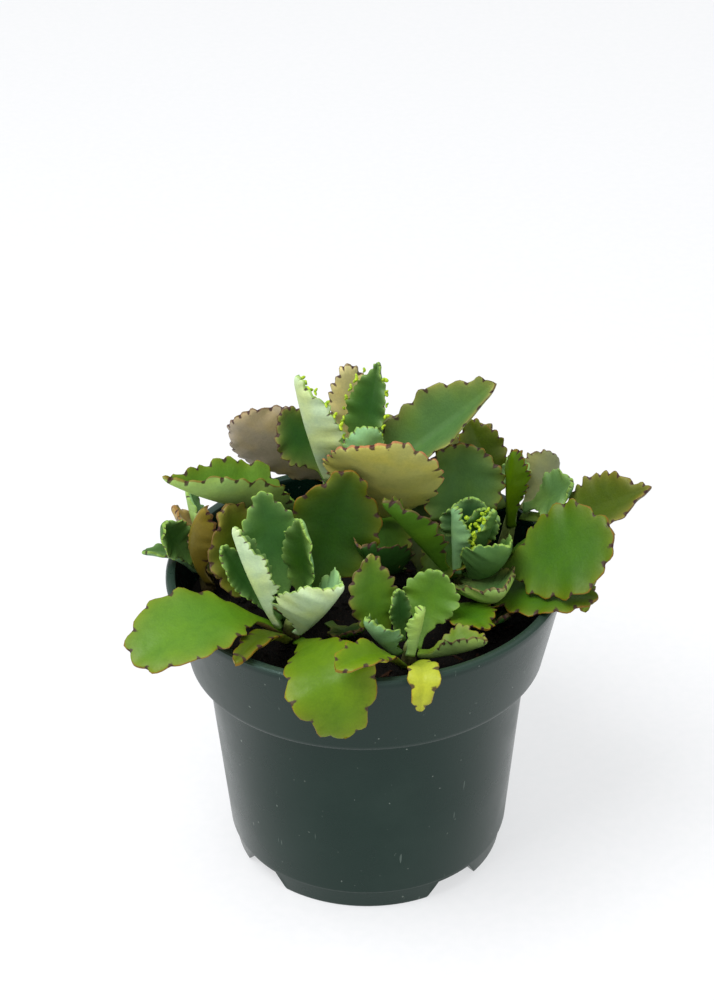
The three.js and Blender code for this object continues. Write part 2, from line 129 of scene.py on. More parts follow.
def leaf_skeleton(node):
    piece = merged_copy(node, "skeleton")
    points = np.array([v.co for v in piece.data.vertices])
    edges = [tuple(e.vertices) for e in piece.data.edges]
    bpy.data.objects.remove(piece)

    def miss(edge):
        return abs(np.linalg.norm(points[edge[0]] - points[edge[1]]) - MARGIN_THICKNESS)

    pair_of = {}
    pairs = []
    for a, b in sorted(edges, key=miss):
        if miss((a, b)) < 0.03 * MM and a not in pair_of and b not in pair_of:
            pair_of[a] = pair_of[b] = len(pairs)
            pairs.append((a, b))
    ribs = {v: set() for v in range(len(points)) if v not in pair_of}
    rims = {i: set() for i in range(len(pairs))}
    for a, b in edges:
        if a in ribs and b in ribs:
            ribs[a].add(b)
            ribs[b].add(a)
        if a in pair_of and b in pair_of and pair_of[a] != pair_of[b]:
            rims[pair_of[a]].add(pair_of[b])
            rims[pair_of[b]].add(pair_of[a])
    rib = walk(min(v for v in ribs if len(ribs[v]) == 1), ribs)
    rim = walk(min(i for i in rims if len(rims[i]) == 1), rims)
    count = len(rib) // 2
    above, below = points[rib[:count][::-1]], points[rib[count:]]
    margin = np.array([(points[a] + points[b]) / 2 for a, b in (pairs[i] for i in rim)])
    left, tip, right = margin[:count], margin[count], margin[:count:-1]
    middle = (left + right) / 2
    if np.linalg.norm(above - middle, axis=1).sum() > np.linalg.norm(below - middle, axis=1).sum():
        above, below = below, above
    return {"above": above, "below": below, "left": left, "right": right, "tip": tip}


# %% [markdown]
# ## The leaf blank
# A fleshy leaf is a flattened tube, so the blank is a cylinder whose side edges are subdivided into
# many rings. Leaves differ in how many teeth they have, so a blank is made once for each number of
# teeth. Only the upright edges are selected for the cuts, because a cut across the others too would
# make a hundred times as many faces. The rings will stand closer together near the notches, where
# the margin turns sharply.

# %% Model one blank for each number of teeth
SIDES = 40
STALK_STATIONS = [0, 0.5, 1, 1.5]
TIP_TOOTH = 0.5  # the tip is the crest of a last half tooth
blanks = {}


def tooth_places(teeth):
    steps = 8 if teeth < 12 else 6
    places = [
        tooth + (1 - math.cos(math.pi * j / steps)) / 2
        for tooth in range(teeth + 1)
        for j in range(steps)
    ]
    end = teeth + TIP_TOOTH
    return np.array([place for place in places if place < end] + [end - 0.003])


def leaf_blank(teeth):
    if teeth not in blanks:
        cuts = len(STALK_STATIONS) + len(tooth_places(teeth)) - 2
        bpy.ops.object.select_all(action="DESELECT")
        bpy.ops.mesh.primitive_cylinder_add(vertices=SIDES, depth=1, end_fill_type="TRIFAN")
        blank = bpy.context.object
        edit(blank, "DESELECT")
        bpy.ops.mesh.select_mode(type="EDGE")
        leave_edit()
        for e in blank.data.edges:
            ends = [blank.data.vertices[v].co for v in e.vertices]
            e.select = abs(ends[0].z - ends[1].z) > 0.5
        bpy.ops.object.mode_set(mode="EDIT")
        bpy.ops.mesh.subdivide(number_cuts=cuts)
        bpy.ops.mesh.select_mode(type="VERT")
        leave_edit()
        blanks[teeth] = blank.data
        bpy.data.objects.remove(blank)
        print("blank with", teeth, "teeth:", len(blanks[teeth].polygons), "faces")
    return blanks[teeth].copy()


# %% [markdown]
# ## The lines of a leaf
# A blade between two cross-sections is smooth, so curves run through the points of the sections: one
# along the midrib and one along each margin. Straight lines would show every section as a fold. The
# packed leaf has a notch at every second section, and the margin's curve skips those. Towards the
# end it narrows and closes, round on most leaves and pointed on a few.


# %% Curves through the sections
NARROWING = 0.22  # share of the width that is gone near the tip
SHARP_NARROWING = 0.42


def curve_through(keys, values, at):
    keys = np.asarray(keys, float)
    slope = np.gradient(values, keys, axis=0)
    index = np.clip(np.searchsorted(keys, at, side="right") - 1, 0, len(keys) - 2)
    step = (keys[index + 1] - keys[index])[:, None]
    t = (at - keys[index])[:, None] / step
    return (
        values[index] * (2 * t**3 - 3 * t**2 + 1)
        + slope[index] * step * (t**3 - 2 * t**2 + t)
        + values[index + 1] * (3 * t**2 - 2 * t**3)
        + slope[index + 1] * step * (t**3 - t**2)
    )


def tip_rounding(at, rings, sharp=False):
    beyond = np.clip(at - rings + 1, 0, 1)
    return (1 - beyond**1.4) ** 0.85 if sharp else (1 - beyond**2) ** 0.52


def margin_line(spread, at, sharp):
    rings = len(spread)
    keys = [0, 1, 2] + list(range(3, rings, 2))
    line = curve_through(keys, spread[keys], np.minimum(at, rings - 1))
    loss = SHARP_NARROWING if sharp else NARROWING
    narrowing = 1 - loss * np.clip((at / rings - 0.62) / 0.32, 0, 1) ** 2
    return line * (tip_rounding(at, rings, sharp) * narrowing)[:, None]


def leaf_lines(skeleton, at, sharp):
    rings = len(skeleton["above"])
    spine = (skeleton["above"] + skeleton["below"]) / 2
    up = skeleton["above"] - skeleton["below"]
    up /= np.linalg.norm(up, axis=1)[:, None]
    normal = curve_through(range(rings), up, np.minimum(at, rings - 1))
    normal /= np.linalg.norm(normal, axis=1)[:, None]
    middle = curve_through(range(rings + 1), np.vstack([spine, skeleton["tip"]]), at)
    sides = [margin_line(skeleton[side] - spine, at, sharp) for side in ("right", "left")]
    return middle, normal, sides


def blade_sheet(middle, normal, spread, v):
    rise = (spread * normal).sum(1)
    flat = spread - normal * rise[:, None]
    v = np.broadcast_to(v, rise.shape)
    return middle + flat * v[:, None] + normal * (rise * v**1.35)[:, None]


# %% [markdown]
# ## Places along the margin
# Teeth sit evenly along the edge of a leaf and run round its tip. So places are measured along the
# margin's own length, and not along the midrib, which would crowd the teeth where the edge turns
# in. Each point of the blade then finds the nearest place on the margin, how far in it lies, and
# which way is inwards there.


# %% Follow the margin
MARGIN_SAMPLES = 340


def stations_along_margin(skeleton, teeth, places, sharp):
    rings = len(skeleton["above"])
    fine = 2 + (rings - 2) * (1 - (1 - np.linspace(0, 1, 700)) ** 2.2)
    middle, _, sides = leaf_lines(skeleton, fine, sharp)
    steps = sum(np.linalg.norm(np.diff(middle + side, axis=0), axis=1) for side in sides) / 2
    arc = np.append(0, np.cumsum(steps))
    tooth_length = arc[-1] / (teeth + TIP_TOOTH)
    return np.interp(places / (teeth + TIP_TOOTH) * arc[-1], arc, fine), tooth_length


def nearest_on_margin(sheet, skeleton, teeth, across, sharp):
    last = teeth + TIP_TOOTH
    places = np.linspace(0, last, MARGIN_SAMPLES)
    at, _ = stations_along_margin(skeleton, teeth, places, sharp)
    middle, _, sides = leaf_lines(skeleton, at, sharp)
    further_in = 2 + (at - 2) * 0.96
    inset_middle, inset_normal, inset_sides = leaf_lines(skeleton, further_in, sharp)
    tooth, inward = np.zeros(len(sheet)), np.zeros(len(sheet))
    inner = np.zeros_like(sheet)
    for side, inset, mine in zip(sides, inset_sides, (across > 0, across <= 0)):
        rim = middle + side
        run = np.gradient(rim, axis=0)
        towards = blade_sheet(inset_middle, inset_normal, inset, 0.85) - rim
        towards -= run * ((towards * run).sum(1) / (run**2).sum(1))[:, None]
        towards /= np.maximum(np.linalg.norm(towards, axis=1), 1e-9)[:, None]
        points = sheet[mine]
        near = ((points[:, None] - rim[None]) ** 2).sum(2).argmin(1)
        step = ((points - rim[near]) * run[near]).sum(1) / (run[near] ** 2).sum(1)
        step = np.clip(step, -1, 1)
        place = np.clip(near + step, 0, MARGIN_SAMPLES - 1) / (MARGIN_SAMPLES - 1)
        tooth[mine] = place * last
        inward[mine] = np.linalg.norm(points - rim[near] - run[near] * step[:, None], axis=1)
        inner[mine] = towards[near]
    return tooth, inward, inner


# %% [markdown]
# ## Growing the blank on its skeleton
# The blank's rings are sent along the midrib, and each ring is opened out to the two margins. A
# notch is sharp, and a tooth is round and leans towards the tip. The edge moves inwards at each
# notch, and the blade moves with it, less the further in it lies, so nothing is pinched. The blade
# has a faint groove along the midrib, its edge is blunt, and it waves a little.


# %% Cut the teeth
TOOTH_DEPTH = 1.25 * MM
TOOTH_LEAN = 0.35


def tooth_dip(tooth, teeth, tooth_length, half_width, seed):
    deepest = min(0.28 * tooth_length, TOOTH_DEPTH, 0.14 * half_width)
    x = 2 * (tooth % 1) - 1
    lean = x - TOOTH_LEAN * (1 - x**2) * (tooth < teeth)
    dip = np.abs(lean) ** 1.5 * deepest * (1 + 0.25 * np.sin(np.round(tooth) * 2.4 + seed))
    return dip * np.clip((tooth - 0.4) / 0.8, 0, 1), deepest


# %% [markdown]
# ## The thickness of a blade
# A fleshy leaf is thick at the midrib and thin at the margin, and its edge is blunt like a worn
# coin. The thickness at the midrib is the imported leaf's own. The waves and the groove are small
# moves along the same direction, so they are added to it.


# %% Thickness, waves and groove
EDGE_THICKNESS = 0.9 * MM
PLUMPNESS = 0.25 * MM
GROOVE_DEPTH = 0.1 * MM


def blade_offset(skeleton, w, across, lift, span, seed):
    rings = len(skeleton["above"])
    v = np.abs(across)
    open_blade = np.clip((w - 2) / 2, 0, 1)
    wave = np.sin(w * 1.3 + seed * 2.1) * 0.5 * MM + np.sin(w * 2.3 + seed) * 0.3 * MM
    end = tip_rounding(w, rings) ** 0.7
    depth = np.linalg.norm(skeleton["above"] - skeleton["below"], axis=1)
    midrib = np.interp(w, range(rings), depth) - EDGE_THICKNESS
    thick = EDGE_THICKNESS + midrib * (1 - v**1.5)
    thick = np.minimum(thick * end, np.maximum(span * 1.6, 0.5 * MM))
    blunt = np.sign(lift) * np.abs(lift) ** 0.55
    plump = np.sin(math.pi * v) * PLUMPNESS * open_blade * end * np.sign(lift)
    groove = np.exp(-((v / 0.12) ** 2)) * GROOVE_DEPTH * open_blade * end * (lift > 0)
    offset = wave * v**2 * open_blade * np.sign(across) + blunt * thick / 2 + plump - groove
    return offset, blunt


# %% [markdown]
# ## One leaf, grown
# The lines, the teeth and the thickness now come together on a copy of a blank. What the paint will
# need later is worked out here too: how far a point lies along the leaf and in from the margin,
# which side it is on, and how close it is to a notch.


# %% Shape a leaf on its skeleton
def grow_leaf(name, skeleton, fineness, seed, sharp=False):
    rings = len(skeleton["above"])
    teeth = round((rings - 2) // 2 * fineness) + 1
    blade_at, tooth_length = stations_along_margin(skeleton, teeth, tooth_places(teeth), sharp)
    at = np.append(STALK_STATIONS, blade_at)
    mesh = leaf_blank(teeth)
    mesh.name = name
    co = np.array([v.co for v in mesh.vertices])
    w = at[np.round((co[:, 2] + 0.5) * (len(at) - 1)).astype(int)]
    on_axis = np.hypot(co[:, 0], co[:, 1]) < 0.5
    across, lift = co[:, 0], co[:, 1]
    v = np.abs(across)
    middle, normal, sides = leaf_lines(skeleton, w, sharp)
    spread = np.where((across > 0)[:, None], *sides)
    span = np.linalg.norm(spread, axis=1)
    sheet = blade_sheet(middle, normal, spread, v)
    tooth, inward, inner = nearest_on_margin(sheet, skeleton, teeth, across, sharp)
    dip, deepest = tooth_dip(tooth, teeth, tooth_length, span.max(), seed)
    sheet += inner * (dip * v * np.exp(-inward / (2.2 * deepest)))[:, None]
    offset, blunt = blade_offset(skeleton, w, across, lift, span, seed)
    placed = sheet + normal * offset[:, None]
    placed[on_axis] = middle[on_axis]
    mesh.vertices.foreach_set("co", placed.ravel())
    mesh.update()

    from_notch = np.abs(tooth - np.round(tooth)) * tooth_length
    reach = np.clip(tooth_length / (4 * MM), 0.5, 1.1) * MM
    spot = np.exp(-((from_notch / (0.62 * reach)) ** 2) - (inward / (1.7 * reach)) ** 2)
    facts = {"along": w / rings, "lift": blunt, "inward": inward, "width": 2 * span.max()}
    facts["notch"] = spot * (tooth > 0.5)
    facts["blade"] = np.clip((w - 2.2) / 0.5, 0, 1)
    return mesh, facts


# %% [markdown]
# ## Leaf colours
# The plants have grown in strong light, so their leaves run from a bluish dark green to lime,
# yellow and a purple tan. Each leaf gets one tone for its upper side and one for its underside. They
# are painted on the vertices, with a foot of its own tone, so all leaves can share one material. The
# margin has a colour of its own, the blade bleaches a little beside it, and the notches are marked
# for the dark spots.


# %% Tones of the leaves
def colour(red, green, blue):
    parts = [c / 255 for c in (red, green, blue)]
    return np.array([c / 12.92 if c <= 0.04045 else ((c + 0.055) / 1.055) ** 2.4 for c in parts])


TONES = {
    "deep": colour(34, 68, 14),
    # painted shade: the near-black green of leaves that stand in shadow
    "shade": colour(20, 46, 6),
    "slate": colour(44, 84, 32),
    "blue": colour(48, 88, 50),
    "jade": colour(74, 110, 58),
    "frost": colour(124, 166, 116),
    "mint": colour(190, 212, 172),
    "green": colour(56, 98, 14),
    "leaf": colour(76, 118, 28),
    "fresh": colour(78, 122, 4),
    "pale": colour(150, 184, 104),
    "olive": colour(62, 82, 5),
    "lime": colour(80, 114, 0),
    "straw": colour(160, 158, 88),
    "bronze": colour(108, 98, 34),
    "gold": colour(150, 160, 46),
    "amber": colour(134, 128, 14),
    "blush": colour(176, 156, 80),
    "tan": colour(150, 130, 84),
    "grey": colour(118, 124, 86),
    "mauve": colour(190, 180, 128),
    "plum": colour(156, 144, 124),
}
RED = colour(168, 78, 64)

# Tint of the margin, width of its line, strength of the spots, and the bleached tone beside it.
MARGINS = {
    "brown": (colour(128, 82, 24), 0.45 * MM, 1.0, TONES["amber"]),
    "bright": (colour(142, 176, 70), 0.28 * MM, 0.5, TONES["pale"]),
    "red": (RED, 0.45 * MM, 0.9, (RED + TONES["blush"]) / 2),
    "purple": (colour(92, 54, 44), 0.45 * MM, 1.0, TONES["blush"]),
}

# Upper side, underside, margin, and the tone at the foot where it differs.
LEAF_TONES = {
    "front_left": [
        ("leaf", "tan", "brown", "fresh"),
        ("olive", "amber", "purple", "green"),
        ("slate", "green", "bright"),
        ("jade", "mint", "bright"),
        ("deep", "frost", "bright"),
        ("frost", "mint", "bright"),
        ("deep", "green", "brown", "slate"),
        ("lime", "gold", "brown", "green"),
        ("olive", "gold", "brown"),
        ("slate", "frost", "bright"),
    ],
    "front": [
        ("leaf", "pale", "purple", "lime"),
        ("blue", "frost", "bright"),
        ("leaf", "frost", "bright"),
        ("slate", "frost", "bright"),
        ("frost", "pale", "bright"),
        ("lime", "pale", "purple"),
        ("lime", "gold", "brown"),
        ("gold", "gold", "brown", "lime"),
    ],
    "right": [
        ("blue", "frost", "bright"),
        ("slate", "blue", "bright"),
        ("frost", "jade", "bright"),
        ("blue", "frost", "bright"),
        ("slate", "jade", "bright"),
        ("jade", "pale", "purple"),
        ("leaf", "leaf", "purple", "amber"),
        ("green", "olive", "brown"),
        ("green", "lime", "brown"),
        ("jade", "green", "brown", "slate"),
    ],
    "centre": [
        ("frost", "mint", "bright"),
        ("slate", "jade", "bright"),
        ("slate", "green", "purple"),
        ("jade", "pale", "purple"),
        ("straw", "straw", "red", "gold"),
        ("jade", "frost", "bright"),
        ("leaf", "pale", "brown"),
    ],
    "left": [
        ("tan", "bronze", "purple"),
        ("frost", "pale", "bright"),
        ("tan", "tan", "brown"),
        ("slate", "jade", "bright"),
        ("jade", "frost", "bright"),
    ],
    "back_right": [
        ("olive", "leaf", "brown"),
        ("frost", "pale", "bright"),
        ("fresh", "lime", "brown"),
        ("grey", "grey", "purple"),
        ("jade", "frost", "bright"),
        ("olive", "grey", "purple"),
        ("lime", "leaf", "brown"),
    ],
    "back": [
        ("green", "mauve", "purple"),
        ("green", "plum", "purple"),
        ("green", "pale", "brown"),
        ("leaf", "pale", "brown"),
    ],
}

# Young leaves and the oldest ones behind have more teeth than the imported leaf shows.
FINER_TEETH = {
    "front_left": [1, 1, 1.4, 2, 2, 2, 1, 1, 1, 2],
    "front": [1.2, 1.6, 1.2, 1.6, 1.6, 1.5, 1, 1],
    "right": [1.6, 1.8, 1.6, 1.7, 1.7, 1.4, 1, 1, 1.2, 1.6],
    "centre": [1.4, 1.6, 1.4, 1.2, 1.6, 1.5, 1.3],
    "left": [1.2, 1.5, 1.3, 1.6, 1.3],
    "back_right": [1.4, 1.5, 1.3, 1.7, 1.5, 1.3, 1],
    "back": [1.5, 1.9, 1.2, 1.2],
}

# %% [markdown]
# ## Building a finish
# Every finish here is made the same way: noise is turned into soft bands, the bands mix colours, and
# the same noise drives the gloss and the bump. So the few moves that repeat are put in one class.
# Values that are the same all over a surface are set on the shader itself.


# %% A finish is a material that is built up node by node
class Finish:
    def __init__(self, name, **shader):
        self.material = bpy.data.materials.new(name)
        self.material.use_nodes = True
        self.tree = self.material.node_tree
        self.tree.nodes.clear()
        out = self.tree.nodes.new("ShaderNodeOutputMaterial")
        self.shader = self.tree.nodes.new("ShaderNodeBsdfPrincipled")
        for key, value in shader.items():
            self.shader.inputs[key.replace("_", " ")].default_value = value
        self.join(self.shader.outputs[0], out.inputs[0])
        self.place = self.tree.nodes.new("ShaderNodeTexCoord").outputs["Object"]

    def join(self, start, end):
        self.tree.links.new(start, end)

    def node(self, kind, settings=(), **inputs):
        made = self.tree.nodes.new(kind)
        for key, value in dict(settings).items():
            setattr(made, key, value)
        for key, value in inputs.items():
            socket = made.inputs[int(key[1:])] if key[1:].isdigit() else made.inputs[key]
            if isinstance(value, bpy.types.NodeSocket):
                self.join(value, socket)
            else:
                socket.default_value = value
        return made

    def noise(self, scale, detail=3, roughness=0.55):
        return self.node(
            "ShaderNodeTexNoise", Vector=self.place, Scale=scale, Detail=detail, Roughness=roughness
        ).outputs[0]

    def attribute(self, name, socket):
        return self.node("ShaderNodeAttribute", {"attribute_name": name}).outputs[socket]

    def band(self, value, low, high, to_low=0.0, to_high=1.0):
        return self.node(
            "ShaderNodeMapRange", {"interpolation_type": "SMOOTHSTEP"},
            _0=value, _1=low, _2=high, _3=to_low, _4=to_high,
        ).outputs[0]

    def sum(self, a, b, operation="ADD"):
        return self.node("ShaderNodeMath", {"operation": operation}, _0=a, _1=b).outputs[0]

    def mix(self, share, a, b, blend="MIX"):
        a, b = [(*c, 1) if isinstance(c, (tuple, np.ndarray)) else c for c in (a, b)]
        settings = {"data_type": "RGBA", "blend_type": blend}
        return self.node("ShaderNodeMix", settings, _0=share, _6=a, _7=b).outputs[2]

    def use(self, base, roughness, height, depth, strength=1.0):
        self.join(base, self.shader.inputs["Base Color"])
        self.join(roughness, self.shader.inputs["Roughness"])
        bump = self.node("ShaderNodeBump", Height=height, Distance=depth, Strength=strength)
        self.join(bump.outputs[0], self.shader.inputs["Normal"])
        return self.material


# %% [markdown]
# ## The leaf material
# The skin of a leaf is waxy and slightly mottled. Large soft noise shifts its hue, and finer noise
# gives the grain of its cells and changes its gloss. A thin coloured line runs round the margin and
# breaks up a little, and each notch has a dark, uneven spot.


# %% Waxy leaf skin
def leaf_finish():
    skin = Finish("leaf_skin", Specular_IOR_Level=0.22)
    broad, cells, grain = skin.noise(95, 2), skin.noise(420, 3), skin.noise(1900, 2)
    blade = skin.attribute("blade", "Color")
    blade = skin.mix(skin.band(broad, 0.4, 0.72, 0, 0.45), blade, (1.4, 1.2, 0.5), "MULTIPLY")
    blade = skin.mix(skin.band(cells, 0.42, 0.75, 0, 0.35), blade, (0.66, 0.74, 0.72), "MULTIPLY")
    blade = skin.mix(skin.band(grain, 0.35, 0.7, 0, 0.3), blade, (1.3, 1.3, 1.2), "MULTIPLY")
    rim = skin.sum(skin.attribute("rim", "Fac"), skin.band(cells, 0.2, 0.8, -0.28, 0.28))
    edge = skin.mix(skin.band(rim, 0.5, 0.85, 0, 0.65), blade, skin.attribute("edge", "Color"))
    notch = skin.sum(skin.attribute("notch", "Fac"), skin.band(cells, 0.2, 0.8, -0.24, 0.24))
    spot = skin.mix(skin.band(notch, 0.28, 0.56, 0, 0.88), edge, colour(56, 28, 34))
    gloss = skin.band(cells, 0.3, 0.75, 0.42, 0.58)
    height = skin.sum(skin.sum(cells, 0.7, "MULTIPLY"), skin.sum(grain, 0.3, "MULTIPLY"))
    return skin.use(spot, gloss, height, 0.25 * MM, 0.6)


leaf_skin = leaf_finish()
print("made", leaf_skin.name)


# %% [markdown]
# ## Painting and placing the leaves
# Each leaf now gets its own copy of a blank, grown on its skeleton and painted. The paint is stored
# as colour and number attributes on the mesh, so it stays with the leaf.


# %% Grow and paint every leaf
def store(mesh, name, kind, values):
    layer = mesh.attributes.new(name, kind, "POINT")
    key = "color" if kind == "FLOAT_COLOR" else "value"
    layer.data.foreach_set(key, np.asarray(values, np.float32).ravel())


def paint(mesh, facts, upper, under, margin, foot=None, seed=0):
    tint, line, spots, bleached = MARGINS[margin]
    drift = 1 + 0.1 * math.sin(seed * 12.9898)
    side = np.clip(0.5 + facts["lift"], 0, 1)[:, None]
    blade = TONES[under] * (1 - side) + TONES[upper] * side
    halo = np.exp(-facts["inward"] / (0.09 * facts["width"]))[:, None] * side * 0.4
    blade = blade + (bleached - blade) * halo
    base = np.clip(1 - facts["along"] / 0.45, 0, 1)[:, None]
    foot_tone = TONES[foot] if foot else TONES[upper] * 0.8 + TONES["pale"] * 0.2
    blade = blade + (foot_tone - blade) * base * 0.8 * (side if under != "gold" else 1)
    alpha = np.ones((len(blade), 1))
    store(mesh, "blade", "FLOAT_COLOR", np.hstack([blade * drift, alpha]))
    store(mesh, "edge", "FLOAT_COLOR", np.hstack([np.tile(tint, (len(blade), 1)), alpha]))
    store(mesh, "rim", "FLOAT", np.exp(-((facts["inward"] / line) ** 2)) * facts["blade"])
    store(mesh, "notch", "FLOAT", facts["notch"] * spots)


def finish_leaf(mesh, *nodes):
    leaf = bpy.data.objects.new(mesh.name, mesh)
    bpy.context.scene.collection.objects.link(leaf)
    edit(leaf)
    bpy.ops.mesh.normals_make_consistent(inside=False)
    leave_edit()
    bpy.ops.object.shade_smooth()
    settle(leaf, leaf_skin, "leaf", *nodes)


SHARP_LEAVES = {"centre_leaf_7", "back_right_leaf_6", "front_left_leaf_6", "left_leaf_2"}
skeletons = {}
for plant, tones in LEAF_TONES.items():
    for number, (tone, fineness) in enumerate(zip(tones, FINER_TEETH[plant]), 1):
        node = f"{plant}_leaf_{number}"
        seed = len(skeletons)
        skeletons[node] = leaf_skeleton(node)
        mesh, facts = grow_leaf(
            node + "_grown", skeletons[node], fineness, seed, sharp=node in SHARP_LEAVES
        )
        paint(mesh, facts, *tone, seed=seed)
        finish_leaf(mesh, node)
print("leaves grown:", len(skeletons))

# %% [markdown]
# ## Leaves in the shade
# Low between the stems are older leaves that are mostly hidden. They need no skeletons of their own:
# the skeleton of another leaf is grown again with finer teeth, and the new leaf is laid flat, made
# smaller, turned to a new direction, and planted low. Without them the soil would show too much.
# Most of them get dark tones, the darkest being the shade tone: painted shade for the shadow between
# the stems.

# %% Plant leaves low between the stems
# Leaf whose skeleton is used, foot in millimetres, direction and climb in degrees, size, tones.
SHADED = [
    ("centre_leaf_4", (10, 14, 77), 250, 40, 0.85, ("deep", "slate", "purple")),
    ("front_left_leaf_7", (16, 6, 77), 110, 52, 0.75, ("shade", "deep", "purple")),
    ("right_leaf_8", (8, -4, 77), 30, 34, 0.75, ("deep", "olive", "brown")),
    ("front_left_leaf_2", (-2, -2, 77), 60, 56, 0.85, ("green", "olive", "purple")),
    ("front_leaf_3", (24, -8, 77), -40, 22, 0.9, ("deep", "slate", "purple")),
    ("right_leaf_9", (22, -4, 77), -70, 20, 0.75, ("green", "olive", "brown")),
    ("front_leaf_1", (-12, -6, 77), 215, 30, 0.8, ("deep", "slate", "purple")),
    ("front_leaf_3", (-10, -12, 77), -60, 24, 0.8, ("deep", "green", "purple")),
    ("front_left_leaf_2", (-26, 6, 77), 170, 36, 0.8, ("olive", "amber", "purple")),
    ("right_leaf_8", (2, 26, 77), 80, 44, 0.85, ("deep", "olive", "purple")),
    ("centre_leaf_4", (14, 30, 77), 40, 42, 0.8, ("deep", "slate", "purple")),
    ("front_leaf_3", (-22, 24, 77), 125, 36, 0.9, ("slate", "green", "purple")),
    ("right_leaf_8", (-8, 38, 77), 100, 30, 0.8, ("green", "leaf", "brown")),
    ("front_left_leaf_2", (22, 36, 77), 65, 34, 0.9, ("green", "leaf", "brown")),
]


def replant(leaf, skeleton, foot, turn, climb, size):
    start = Vector((skeleton["above"][0] + skeleton["below"][0]) / 2)
    along = (Vector(skeleton["tip"]) - start).normalized()
    half = len(skeleton["above"]) // 2
    across = Vector(skeleton["left"][half] - skeleton["right"][half]).normalized()
    up = along.cross(across).normalized()
    if up.z < 0:
        up = -up
    own = Matrix((along, up.cross(along), up)).to_4x4()
    leaf.transform(own @ Matrix.Translation(-start))
    leaf.transform(Matrix.Scale(size, 4))
    leaf.transform(Matrix.Rotation(math.radians(-climb), 4, "Y"))
    leaf.transform(Matrix.Rotation(math.radians(turn), 4, "Z"))
    leaf.transform(Matrix.Translation(Vector(foot) * MM))


for number, (node, foot, turn, climb, size, tones) in enumerate(SHADED, 1):
    mesh, facts = grow_leaf(f"shaded_leaf_{number}", skeletons[node], 1.3, number)
    paint(mesh, facts, *tones, seed=number)
    replant(mesh, skeletons[node], foot, turn, climb, size)
    finish_leaf(mesh)
print("shaded leaves:", len(SHADED))

# %% [markdown]
# ## Stems
# A stem is a soft green rod that browns towards the soil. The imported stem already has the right
# taper, so a merged copy is subdivided until it is round.


# %% Round the stems
def stem_finish():
    skin = Finish("stem_skin", Specular_IOR_Level=0.35)
    broad, grain = skin.noise(160, 3), skin.noise(900, 3)
    up = skin.node("ShaderNodeSeparateXYZ", _0=skin.place).outputs[2]
    base = skin.mix(skin.band(up, 76 * MM, 90 * MM), colour(104, 88, 56), colour(138, 160, 84))
    base = skin.mix(skin.band(broad, 0.4, 0.7, 0, 0.6), base, colour(96, 104, 54))
    base = skin.mix(skin.band(grain, 0.45, 0.7, 0, 0.4), base, (0.6, 0.55, 0.5), "MULTIPLY")
    return skin.use(base, skin.band(grain, 0.3, 0.7, 0.5, 0.75), grain, 0.4 * MM)


stem_skin = stem_finish()
for plant in LEAF_TONES:
    stem = merged_copy(plant + "_stem", plant + "_stem_grown")
    apply_modifier(stem, "SUBSURF", levels=2, render_levels=2)
    bpy.ops.object.shade_smooth()
    settle(stem, stem_skin, "stem", plant + "_stem")
print("stems rounded:", len(LEAF_TONES))

# %% [markdown]
# ## The pot
# A nursery pot is one thin moulded wall, turned round an axis. It starts as a small ring under the
# middle of the floor. The ring is extruded and resized step by step: out to the foot, up the outside,
# over the lip, down the inside and back in to the middle. Then its two ends are closed.

# %% Turn the pot's wall
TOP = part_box("pot")[1].z

# Radius and height of each corner of the wall in millimetres, in the order in which it is turned.
PROFILE = [
    (4, 0.4), (33.5, 0.4), (34.5, 0), (36.6, 0), (37.15, 0.25), (37.35, 0.8), (38.1, 5.6),
    (38.3, 6.1), (38.85, 6.5), (39.0, 7.2), (41.5, 34.0), (44.0, 60.0), (44.25, 61.5),
    (44.7, 61.95), (47.7, 62.0), (48.3, 62.15), (48.6, 62.6), (48.75, 63.4), (51.4, 75.2),
    (53.55, 85.0), (53.85, 86.3), (53.8, 87.05), (53.4, 87.45), (52.9, 87.5), (51.9, 87.45),
    (51.35, 87.2), (51.2, 86.6), (51.05, 85.6), (49.6, 78.5), (47.1, 64.2), (43.2, 62.2),
    (42.7, 61.0), (40.0, 34.0), (36.8, 4.0), (35.0, 1.8), (4, 1.8),
]


def turned(name, profile, sides):
    bpy.ops.object.select_all(action="DESELECT")
    radius, height = profile[0]
    bpy.ops.mesh.primitive_circle_add(
        vertices=sides, radius=radius * MM, location=(0, 0, height * MM)
    )
    piece = bpy.context.object
    piece.name = name
    edit(piece)
    for next_radius, next_height in profile[1:]:
        rise = (next_height - height) * MM
        bpy.ops.mesh.extrude_region_move(TRANSFORM_OT_translate={"value": (0, 0, rise)})
        share = next_radius / radius
        bpy.ops.transform.resize(value=(share, share, 1), center_override=(0, 0, next_height * MM))
        radius, height = next_radius, next_height
    bpy.ops.mesh.edge_face_add()
    leave_edit()
    first = [v.index for v in piece.data.vertices[:sides]]
    edit(piece, "DESELECT")
    leave_edit()
    for index in first:
        piece.data.vertices[index].select = True
    bpy.ops.object.mode_set(mode="EDIT")
    bpy.ops.mesh.edge_face_add()
    bpy.ops.mesh.select_all(action="SELECT")
    bpy.ops.mesh.normals_make_consistent(inside=False)
    return leave_edit()


pot = turned("nursery_pot", PROFILE, 128)
print("pot wall:", len(pot.data.polygons), "faces")

# %% [markdown]
# ## The drain slots
# Water leaves such a pot through slots where the wall meets the floor. Each is wider at the table
# than above it, so a cube is stretched, its top is drawn in, and it is turned to its place. A
# boolean then takes it out of the foot, because the slot runs through curved wall and flat floor.

